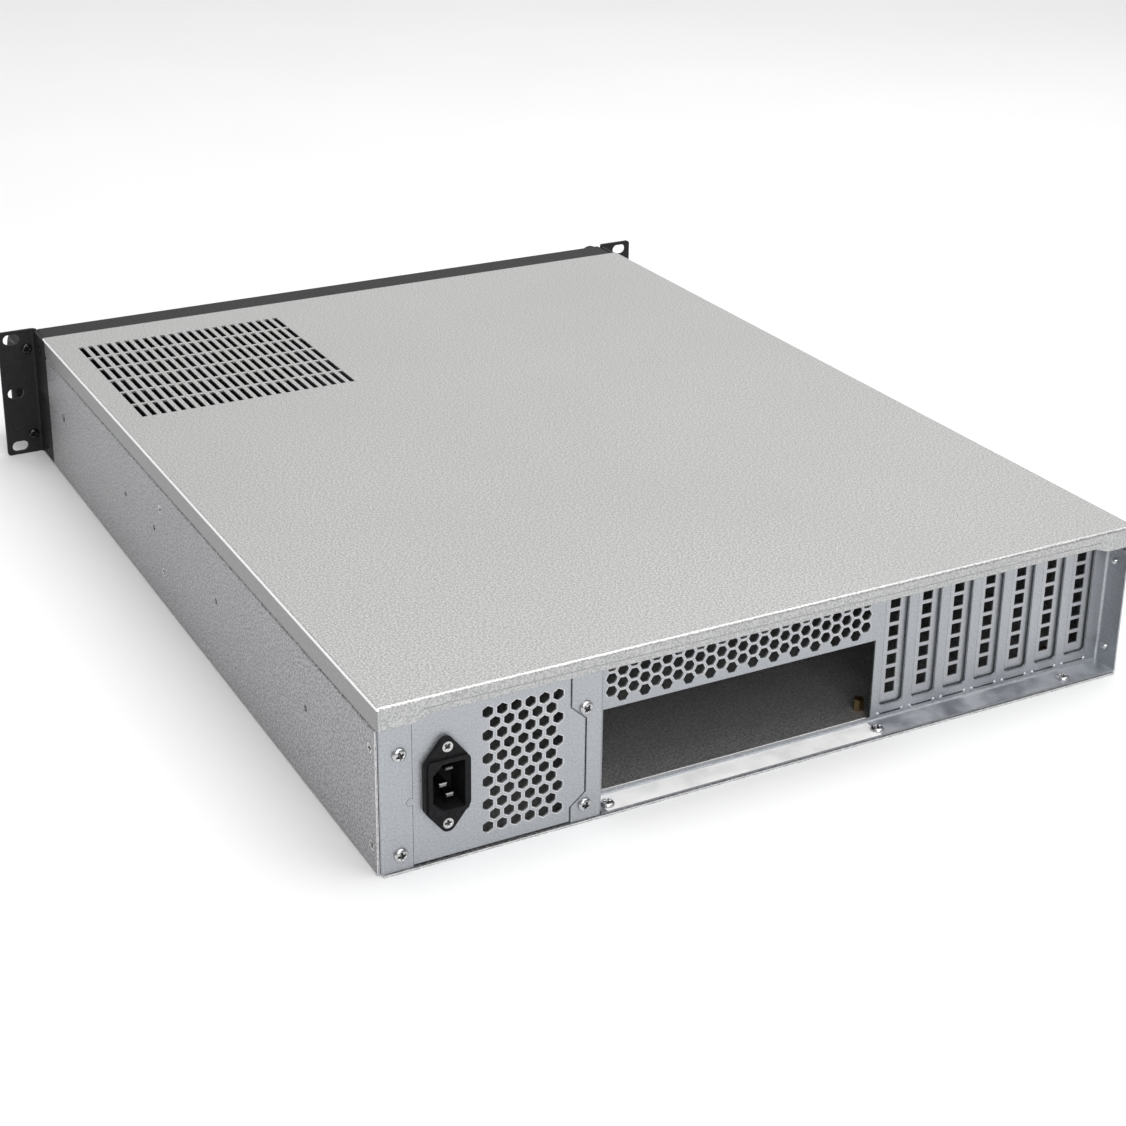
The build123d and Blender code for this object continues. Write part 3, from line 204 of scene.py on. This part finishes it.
wall_x = 0.2175
rear_y = 0.30525
top_z = 0.088
everywhere = ((-0.3, -0.4, -0.1), (0.3, 0.4, 0.2))
# Painted shade: a thin dark line along every cut edge and fold, for the shade and dirt in the
# gaps.
edge_shade_line = (0.00028, (0.10, 0.10, 0.10), 1.0, everywhere)
# Painted highlight: a pale matt rim that stands for light caught on cut edges.
highlight_rim = (0.00090, (0.95, 0.95, 0.96), 0.0)
wall_end_highlights = (*highlight_rim, ((-0.3, rear_y - 0.00405, 0.0), (0.3, 0.4, top_z)))
# Painted light: the tray's inner floor is lightened, for the light that falls in through the rear
# window.
floor_light_patch = ((0.90, 0.90, 0.90), 0.25, 1.0, ((-0.2155, -0.4, 0.0005), (0.2155, 0.29, 0.0030)))
# Painted shade: the tray's greys are darker than the cover's, for the shade on the side walls.
shaded_tray_zinc = zinc_sheet(
    "shaded_tray_zinc",
    (0.195, 0.195, 0.205),
    (0.56, 0.56, 0.57),
    grains=850.0,
    relief=0.5,
    metallic=0.8,
    patches=(floor_light_patch,),
    rims=(edge_shade_line, wall_end_highlights),
)
finish("chassis_tray", shaded_tray_zinc)


# The top cover is one folded zinc sheet with lips on three sides, and lies over the walls. Its
# long folds carry painted highlights as white lines, its side and rear lips are darkened as
# painted shade, and a crease runs along the rear lip, drawn as a painted shade line.
def both_sides(low, high):
    """A box on the inlet's side, and the same box mirrored across the case's middle."""
    return (low, high), ((-high[0], *low[1:]), (-low[0], *high[1:]))


lip_top = top_z - 0.0012
fold_top = top_z - 0.0003
# Painted shade: the cover's side lips are darkened to match the shaded side walls.
lip_shade_tint = ((0.20, 0.20, 0.21), 0.60, 1.0)
# Painted highlight: a white line along each long fold.
fold_highlight_tint = ((1.0, 1.0, 1.0), 0.9, 0.1)
lip_boxes = both_sides((wall_x - 0.0007, -0.4, 0.0), (0.23, 0.4, lip_top))
fold_boxes = both_sides((wall_x - 0.0012, -0.4, lip_top), (0.23, 0.4, fold_top))
side_lip_shades = [(*lip_shade_tint, box) for box in lip_boxes]
side_fold_highlights = [(*fold_highlight_tint, box) for box in fold_boxes]
# Painted shade: the rear lip is darkened a little.
rear_lip_shade = ((0.36, 0.37, 0.40), 0.20, 1.0, ((-0.3, rear_y - 0.00065, 0.0), (0.3, 0.4, lip_top)))
# Painted shade: a dark line along the rear lip's crease.
crease_box = ((-0.195, rear_y - 0.00125, top_z - 0.0057), (0.195, 0.4, top_z - 0.0050))
rear_crease_shade = ((0.10, 0.10, 0.10), 0.38, 1.0, crease_box)
top_zinc = zinc_sheet(
    "top_zinc",
    (0.37, 0.37, 0.365),
    (0.69, 0.69, 0.685),
    grains=1000.0,
    relief=0.35,
    patches=(*side_lip_shades, *side_fold_highlights, rear_lip_shade, rear_crease_shade),
    rims=(edge_shade_line,),
)
finish("top_cover", top_zinc)

# The rear panel is one punched and folded zinc sheet, and the inlet plate a second one, flush in
# it with a seam between that is painted black as painted shade. The vents' rims are painted pale
# as a painted highlight. The floor flange shows the blotches of the bath, lighter on level faces
# as painted light, and a white strip below the window that is painted light.
# Painted highlight: pale rims round the vents of the plate and the comb.
plate_vent_highlights = (*highlight_rim, ((0.1215, 0.2, 0.006), (0.163, 0.4, 0.078)))
comb_vent_highlights = (*highlight_rim, ((-0.062, 0.2, 0.055), (0.098, 0.4, top_z)))
# Painted shade: a black line in the seam beside the inlet plate.
plate_seam_shade = (0.00080, (0.02, 0.02, 0.02), 0.6, ((0.100, 0.2, 0.0), (0.1205, 0.4, top_z)))
# Painted shade: black lines along the edges of the slot openings.
slot_edge_shade = (0.00060, (0.02, 0.02, 0.02), 1.0, ((-0.212, 0.286, 0.0086), (-0.066, 0.2905, top_z)))
panel_zinc = zinc_sheet(
    "panel_zinc",
    (0.37, 0.385, 0.41),
    (0.50, 0.52, 0.545),
    grains=1000.0,
    relief=0.3,
    rims=(edge_shade_line, plate_vent_highlights, comb_vent_highlights, plate_seam_shade, slot_edge_shade),
    # Painted light: the strip below the window.
    lit_strip_box=((-0.062, 0.285, 0.0), (0.0985, 0.31, 0.008)),
)
for node in ("rear_panel", "inlet_plate"):
    finish(node, panel_zinc)

# The seven slot covers are punched from zinc sheet of another roll, a shade duller and bluer.
# Each hangs behind its opening from a tab that is screwed to the rear panel's ledge.
slot_count = 7
cover_zinc = zinc_sheet(
    "cover_zinc",
    (0.40, 0.415, 0.435),
    (0.54, 0.555, 0.575),
    grains=1000.0,
    relief=0.3,
    rims=(edge_shade_line,),
)
for count in range(slot_count):
    finish(f"slot_cover_{count + 1}", cover_zinc)

# The fan wall, drive cage and power supply bracket are folded from plain zinc sheet, a little
# darker than the outside, and screwed to the tray.
bracket_zinc = zinc_sheet(
    "bracket_zinc",
    (0.30, 0.31, 0.32),
    (0.42, 0.43, 0.44),
    grains=900.0,
    relief=0.3,
    rims=(edge_shade_line,),
)
for node in ("drive_cage", "power_supply_bracket", "fan_wall"):
    finish(node, bracket_zinc)


# Black powder coat covers the front panel, its bay blank, the ears and the bow handles.
# It is baked on as a fine even orange-peel, a little worn to grey along the edges.
def powder_coat(name, colour, edge):
    """Dark coat with a fine pebbled skin."""
    material, tree, shader = new_material(name, metallic=0.0, specular=0.25)
    tint = mixed(tree, spread(tree, noise(tree, 700.0), 0.0, 0.5), colour, edge)
    tree.links.new(mixed(tree, cut_edges(tree, 0.0003), tint, edge), shader.inputs["Base Color"])
    tree.links.new(spread(tree, noise(tree, 900.0), 0.50, 0.65), shader.inputs["Roughness"])
    bumped(tree, shader, noise(tree, 1300.0, detail=1.0), 0.5, 0.00006)
    return material


black_coat = powder_coat("black_coat", (0.009, 0.009, 0.010), (0.025, 0.025, 0.027))
for node in ("front_panel", "bay_cover"):
    finish(node, black_coat)
for side in ("right", "left"):
    finish(f"rack_ear_{side}", black_coat)
    finish(f"handle_{side}", black_coat)


# The mains inlet, the front's buttons and the switches behind them are moulded in dull black
# plastic, and the tongues in the sockets in white. All have a faint mould grain.
def moulded(name, dark, light, rough):
    """Moulded plastic: an eggshell grain with a soft change of gloss."""
    material, tree, shader = new_material(name, metallic=0.0, specular=0.1)
    grain = spread(tree, noise(tree, 400.0), 0.0, 1.0)
    tree.links.new(mixed(tree, grain, dark, light), shader.inputs["Base Color"])
    gloss = spread(tree, noise(tree, 60.0), rough - 0.05, rough + 0.05)
    tree.links.new(gloss, shader.inputs["Roughness"])
    bumped(tree, shader, noise(tree, 3000.0), 0.3, 0.00002)
    return material


black_plastic = moulded("black_plastic", (0.006, 0.006, 0.007), (0.013, 0.013, 0.014), 0.46)
for node in ("inlet_body", "power_button", "reset_button", "power_switch", "reset_switch"):
    finish(node, black_plastic)
white_plastic = moulded("white_plastic", (0.60, 0.60, 0.58), (0.68, 0.68, 0.66), 0.45)
finish("usb_tongues", white_plastic)


# The inlet's pins and the sockets' shells are drawn metal with a nickel plate. The hexagonal
# standoffs, which are pressed into the tray, and the control board's screws are plain brass.
def plated(name, dark, light, rough):
    """Bright metal, its colour and gloss broken by fine drawing marks, and painted shade where a
    screw's shade attribute is one, deep in the recess and round a sunk rim."""
    material, tree, shader = new_material(name, metallic=1.0)
    marks = noise(tree, 300.0, detail=4.0, stretch=(1.0, 0.15, 1.0))
    shade = tree.nodes.new("ShaderNodeAttribute")
    shade.attribute_name = "shade"
    clean = mixed(tree, spread(tree, marks, 0.0, 1.0), dark, light)
    # Painted shade: the shade attribute darkens the recess and a sunk rim.
    colour = mixed(tree, shade.outputs["Fac"], clean, (0.02, 0.02, 0.02))
    tree.links.new(colour, shader.inputs["Base Color"])
    gloss = spread(tree, marks, rough - 0.07, rough + 0.07)
    tree.links.new(gloss, shader.inputs["Roughness"])
    bumped(tree, shader, noise(tree, 1500.0), 0.2, 0.00002)
    return material


nickel = plated("nickel", (0.11, 0.11, 0.11), (0.22, 0.22, 0.215), 0.26)
for node in ("inlet_pins", "usb_sockets"):
    finish(node, nickel)
brass = plated("brass", (0.34, 0.25, 0.12), (0.46, 0.34, 0.16), 0.34)
for node in ("board_standoffs", "control_board_screws"):
    finish(node, brass)

# The control board is glass laminate, screwed to two posts behind the front panel. Its green
# solder resist shows the copper below as slightly paler tracks.
board, tree, shader = new_material("solder_resist", metallic=0.0)
copper = noise(tree, 160.0, detail=0.0, stretch=(0.15, 1.0, 1.0))
tracks = spread(tree, copper, 0.0, 1.0, at=(0.48, 0.52))
green = mixed(tree, tracks, (0.010, 0.070, 0.025), (0.016, 0.110, 0.040))
tree.links.new(green, shader.inputs["Base Color"])
shader.inputs["Roughness"].default_value = 0.35
bumped(tree, shader, copper, 0.3, 0.00003)
finish("control_board", board)

# The two indicator lights are clear moulded lenses, slightly cloudy. They reach from the
# control board through the front panel.
lens, tree, shader = new_material("clear_lens", metallic=0.0)
haze = spread(tree, noise(tree, 500.0), 0.0, 1.0)
cloudy = mixed(tree, haze, (0.70, 0.74, 0.72), (0.80, 0.84, 0.82))
tree.links.new(cloudy, shader.inputs["Base Color"])
shader.inputs["Roughness"].default_value = 0.15
shader.inputs["Transmission Weight"].default_value = 0.6
finish("indicator_lights", lens)


# Screws are rolled and plated, with a cross recess pressed into the head. Pan heads hold the
# rear panel's plates, and countersunk heads lie flush in the side walls and ears.
def grid_piece(name, points, shade, material, replaced):
    """One mesh from a stack of closed rings. points is copies x rows x columns x 3; each copy
    is joined row to row and round, and closed by its first and last rows, which are poles.
    shade is the painted shade, rows x columns, and the same for each copy."""
    copies, rows, columns = points.shape[:3]
    ring = np.arange(rows * columns).reshape(rows, columns)
    turned = np.roll(ring, -1, axis=1)
    quads = np.stack([ring[:-1], turned[:-1], turned[1:], ring[1:]], axis=-1).reshape(-1, 4)
    faces = (quads[None] + (np.arange(copies) * rows * columns)[:, None, None]).reshape(-1, 4)
    mesh = bpy.data.meshes.new(name)
    mesh.from_pydata(points.reshape(-1, 3).tolist(), [], faces.tolist())
    mesh.materials.append(material)
    mesh.polygons.foreach_set("use_smooth", np.ones(len(faces), dtype=bool))
    values = mesh.attributes.new("shade", "FLOAT", "POINT").data
    values.foreach_set("value", np.tile(shade.ravel(), copies))
    piece = bpy.data.objects.new(name, mesh)
    bpy.context.scene.collection.objects.link(piece)
    weld = piece.modifiers.new("weld", "WELD")
    weld.merge_threshold = 0.00001
    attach(piece, "chassis")
    if replaced:
        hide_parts(replaced)
    return piece


def cross_depth(x, y, reach, width, depth):
    """Depth of a cross recess at x, y: the deeper of two bars at right angles, each with sides
    that slope over half its width and ends that slope over its whole width."""

    def bar(along, across):
        sides = np.clip((width / 2 - np.abs(across)) / (width / 2) + 0.5, 0, 1)
        return sides * np.clip((reach - np.abs(along)) / width, 0, 1)

    return depth * np.maximum(bar(x, y), bar(y, x))


def screw_rings(
    head_radius, length, head_height=0.0, sunk_depth=0.0, shank_radius=0.0017, columns=64
):
    """Rings of one screw along Z from its tip up, the head's seat at Z = 0. The shank's radius
    falls by the thread's depth times a triangle wave of height over pitch minus angle. A pan
    head's half-width is the cosine of the sweep to the power of three quarters and its height
    the sine to that power, and a countersunk one is a flat disc on a cone. The cross recess is
    taken from the head's top, and a second array holds painted shade for it and a sunk rim."""
    pitch = 0.0007
    thread = 0.00022
    point = 0.0008
    blunt = 0.35
    neck = 0.0001
    cone_share = 0.96
    rows_shank = 44
    angle = np.linspace(0, 2 * np.pi, columns, endpoint=False)
    height = np.linspace(-length, -sunk_depth - neck, rows_shank)
    wave = np.abs(((height[:, None] / pitch - angle / (2 * np.pi)) % 1.0) * 2 - 1)
    shank = shank_radius - thread * wave
    tip = np.clip((height + length) / point, blunt, 1.0)[:, None]
    radius = [np.zeros((1, columns)), shank * tip]
    level = [np.full((1, columns), -length), np.repeat(height[:, None], columns, axis=1)]
    if sunk_depth:
        cone = np.linspace(0, 1, 5)[:, None]
        flare = shank_radius + (head_radius - shank_radius) * cone
        radius.append(np.repeat(flare, columns, axis=1))
        level.append(np.repeat(-sunk_depth + sunk_depth * cone * cone_share, columns, axis=1))
    else:
        radius.append(np.repeat(np.array([[shank_radius], [head_radius]]), columns, axis=1))
        level.append(np.zeros((2, columns)))
    sweep = np.concatenate([np.linspace(0, 0.5, 8), np.linspace(0.56, 1.0, 26)]) * np.pi / 2
    rim = head_radius * np.repeat(np.cos(sweep)[:, None] ** 0.75, columns, axis=1)
    rise = head_height * np.repeat(np.sin(sweep)[:, None] ** 0.75, columns, axis=1)
    x = rim * np.cos(angle)
    y = rim * np.sin(angle)
    reach, width, depth = 0.62 * head_radius, 0.30 * head_radius, 0.45 * head_radius
    recess = cross_depth(x, y, reach, width, depth)
    radius = np.concatenate([*radius, rim])
    level = np.concatenate([*level, rise - recess])
    shade = np.zeros(radius.shape)
    head = shade[-len(recess) :]
    # Painted shade: dark in the cross recess, and round a countersunk head's rim.
    head[:] = np.clip(1.6 * recess / recess.max(), 0, 0.75)
    if sunk_depth:
        head[:] = np.maximum(head, rim > 0.90 * head_radius)
    return np.stack([radius * np.cos(angle), radius * np.sin(angle), level], axis=-1), shade


def screws(name, kind, places, material, replaced, seed):
    """Copies of a kind of screw at places, each a point and the way its head faces, turned at
    random, as one piece that stands for a node."""
    rings, shade = kind
    turns = np.random.default_rng(seed).uniform(0, np.pi / 2, len(places))
    copies = []
    for (point, facing), turn in zip(places, turns):
        axis = np.array(facing, float)
        side = np.cross(axis, (0, 0, 1)) if abs(axis[2]) < 0.5 else np.array((1.0, 0, 0))
        over = np.cross(axis, side)
        first = np.cos(turn) * side + np.sin(turn) * over
        second = np.cos(turn) * over - np.sin(turn) * side
        copies.append(np.array(point) + rings @ np.stack([first, second, axis]))
    grid_piece(name, np.stack(copies), shade, material, replaced)


zinc_plate = plated("zinc_plate", (0.42, 0.42, 0.43), (0.62, 0.62, 0.63), 0.24)
black_plate = plated("black_plate", (0.030, 0.030, 0.032), (0.060, 0.060, 0.064), 0.34)
pan_radius = 0.0036
pan_height = 0.0021
pan = screw_rings(pan_radius, length=0.006, head_height=pan_height)
short_pan = screw_rings(pan_radius, length=0.0021, head_height=pan_height)
flush = screw_rings(0.0033, length=0.005, sunk_depth=0.0016)
rivet = screw_rings(0.0028, length=0.0032, sunk_depth=0.0011)
inlet_flush = screw_rings(0.0029, length=0.008, sunk_depth=0.0015, shank_radius=0.0014)

rear = (0, 1, 0)
up = (0, 0, 1)
panel_y = rear_y - 0.0012
plate_places = [((x, panel_y, z), rear) for x in (0.2068, 0.1115) for z in (0.0096, 0.0618)]
screws("plate_screws", pan, plate_places, zinc_plate, "inlet_plate_screws", 3)

flange_y = rear_y - 0.0064
flange_seat = 0.0022
flange_places = [((x, flange_y, flange_seat), up) for x in (0.0958, -0.0628, -0.1846)]
screws("floor_screws", short_pan, flange_places, zinc_plate, "recess_screws", 5)

first_slot_x = -0.077
slot_pitch = 0.02032
tab_y = rear_y - 0.0095
tab_top = 0.082
slot_x = first_slot_x - slot_pitch * np.arange(slot_count)
tab_places = [((x, tab_y, tab_top), up) for x in slot_x]
screws("tab_screws", pan, tab_places, zinc_plate, "slot_cover_screws", 7)

# Countersunk screws and rivets sit in both side walls, the same on either side. A row is their
# node, kind, distance from the rear face, heights, plating and the seed of their turns.
side_rows = (
    ("rear_side_screws", flush, 0.0094, (0.0131, 0.0639), zinc_plate, 11),
    ("fan_wall_screws", flush, 0.308, (0.0221, 0.0613), zinc_plate, 13),
    ("front_panel_rivets", rivet, 0.5103, (0.0458,), zinc_plate, 17),
    ("ear_screws", flush, 0.560, (0.0078, 0.0433, 0.0767), black_plate, 19),
)
for node, kind, back, heights, plate, seed in side_rows:
    y = rear_y - back
    places = [((side * wall_x, y, z), (side, 0, 0)) for side in (-1, 1) for z in heights]
    screws(f"{node}_heads", kind, places, plate, node, seed)

# The bow handles are bolted on from behind the ears. Two small countersunk screws hold the
# inlet, and the screws that no view shows closely keep their plain heads.
handle_x, handle_z, handle_half = 0.223, 0.0438, 0.0305
ear_y = rear_y - 0.5735
feet = [handle_z + end * handle_half for end in (-1, 1)]
handle_places = [((side * handle_x, ear_y, z), rear) for side in (-1, 1) for z in feet]
screws("handle_bolts", pan, handle_places, black_plate, "handle_screws", 23)
inlet_x, inlet_z, inlet_half = 0.184, 0.0415, 0.020
inlet_y = panel_y + 0.003
inlet_places = [((inlet_x, inlet_y, inlet_z + end * inlet_half), rear) for end in (-1, 1)]
screws("inlet_bolts", inlet_flush, inlet_places, zinc_plate, "inlet_screws", 29)
finish("front_panel_screws", black_plate)
for node in ("drive_cage_screws", "power_supply_bracket_screws"):
    finish(node, zinc_plate)

# Mats of black open-cell foam lie behind the front panel's vents as painted shade, a dark sheet
# for the dark inside. They are cut from a sheet and pressed against the panel's inner face, so no
# light shows through.
mat_front = rear_y - 0.5741
mat_thickness = 0.0036
mat_rounding = 0.0012


def foam_mat(x, z, width, height, rows=11, columns=64):
    """Rings of one mat along Y. Each is a rounded rectangle, cosine and sine to the power of a
    fifth, and the rings shrink to the mat's faces by half an ellipse of a high power."""
    angle = np.linspace(0, 2 * np.pi, columns, endpoint=False)
    across = np.sign(np.cos(angle)) * np.abs(np.cos(angle)) ** 0.2
    along = np.sign(np.sin(angle)) * np.abs(np.sin(angle)) ** 0.2
    sweep = np.linspace(-1, 1, rows)[:, None]
    inset = mat_rounding * (1 - (1 - np.abs(sweep) ** 4) ** 0.5)
    open_row = np.ones((rows, 1))
    open_row[[0, -1]] = 0
    points_x = x - across * (width / 2 - inset) * open_row
    points_y = np.repeat(mat_front + mat_thickness * (sweep + 1) / 2, columns, axis=1)
    points_z = z + along * (height / 2 - inset) * open_row
    return np.stack([points_x, points_y, points_z], axis=-1)


# Painted shade: black foam mats stand for the dark inside behind the vents.
foam, tree, shader = new_material("shade_foam", metallic=0.0, specular=0.1)
cells = noise(tree, 650.0, detail=1.0)
pores = mixed(tree, spread(tree, cells, 0.0, 1.0), (0.006, 0.006, 0.006), (0.022, 0.022, 0.023))
tree.links.new(pores, shader.inputs["Base Color"])
shader.inputs["Roughness"].default_value = 0.95
bumped(tree, shader, cells, 1.0, 0.00040)
power_mat = foam_mat(0.133, 0.0385, width=0.138, height=0.070)
bay_mat = foam_mat(-0.028, 0.0205, width=0.145, height=0.034)
side_mat = foam_mat(-0.152, 0.0205, width=0.106, height=0.034)
mats = np.stack([power_mat, bay_mat, side_mat])
shade_mat_piece = grid_piece("shade_mats", mats, np.zeros(mats.shape[1:3]), foam, None)

# The case stands on a plain pale floor in a white room. The floor is matt paint, clouded so
# faintly that only the case's soft shadow shows on it.
bpy.ops.mesh.primitive_plane_add(size=12)
floor = bpy.context.object
floor.name = "floor"
pale, tree, shader = new_material("pale_floor", metallic=0.0)
clouds = spread(tree, noise(tree, 3.0), 0.0, 1.0)
paint = mixed(tree, clouds, (0.80, 0.80, 0.80), (0.82, 0.82, 0.82))
tree.links.new(paint, shader.inputs["Base Color"])
shader.inputs["Roughness"].default_value = 0.9
floor.data.materials.append(pale)


# Four square lamps light it softly. A wide one hangs overhead, a wider and weaker one fills the
# front from the far side, a small one lights the edge by the inlet, and one behind the camera
# lights the rear.
def lamp(name, place, aim, size, power):
    """A square soft lamp at a place, facing an aim."""
    light = bpy.data.lights.new(name, "AREA")
    light.size = size
    light.energy = power
    stand = bpy.data.objects.new(name, light)
    stand.location = place
    stand.rotation_euler = (Vector(aim) - Vector(place)).to_track_quat("-Z", "Y").to_euler()
    bpy.context.scene.collection.objects.link(stand)


lamp("top_lamp", place=(-0.5, 0.3, 2.2), aim=(0, 0, 0), size=2.6, power=60)
lamp("back_lamp", place=(-1.5, -2.4, 1.4), aim=(0, 0, 0.05), size=3.0, power=18)
lamp("edge_lamp", place=(0.9, -2.3, 1.25), aim=(0, 0, 0.05), size=0.8, power=7)
lamp("rear_lamp", place=(0.7, 2.5, 1.5), aim=(0, 0.3, 0.05), size=1.4, power=40)
room = bpy.data.worlds.new("room")
room.use_nodes = True
room.node_tree.nodes["Background"].inputs["Color"].default_value = (1.0, 1.0, 1.0, 1.0)
room.node_tree.nodes["Background"].inputs["Strength"].default_value = 0.32
bpy.context.scene.world = room
bpy.context.scene.view_settings.view_transform = "Standard"

# The camera stands where the photograph was taken, and its small shift is the photograph's
# framing: the case fills the frame a little below and to the left of the lens's axis.
lens_data = bpy.data.cameras.new("camera")
lens_data.lens = 66.35
lens_data.sensor_width = 36.0
lens_data.shift_x = 0.0539
lens_data.shift_y = -0.1181
camera = bpy.data.objects.new("camera", lens_data)
camera.location = (0.5282, 1.0429, 0.5397)
camera.rotation_euler = np.radians((68.187, -0.067, 153.245))
bpy.context.scene.collection.objects.link(camera)
bpy.context.scene.camera = camera
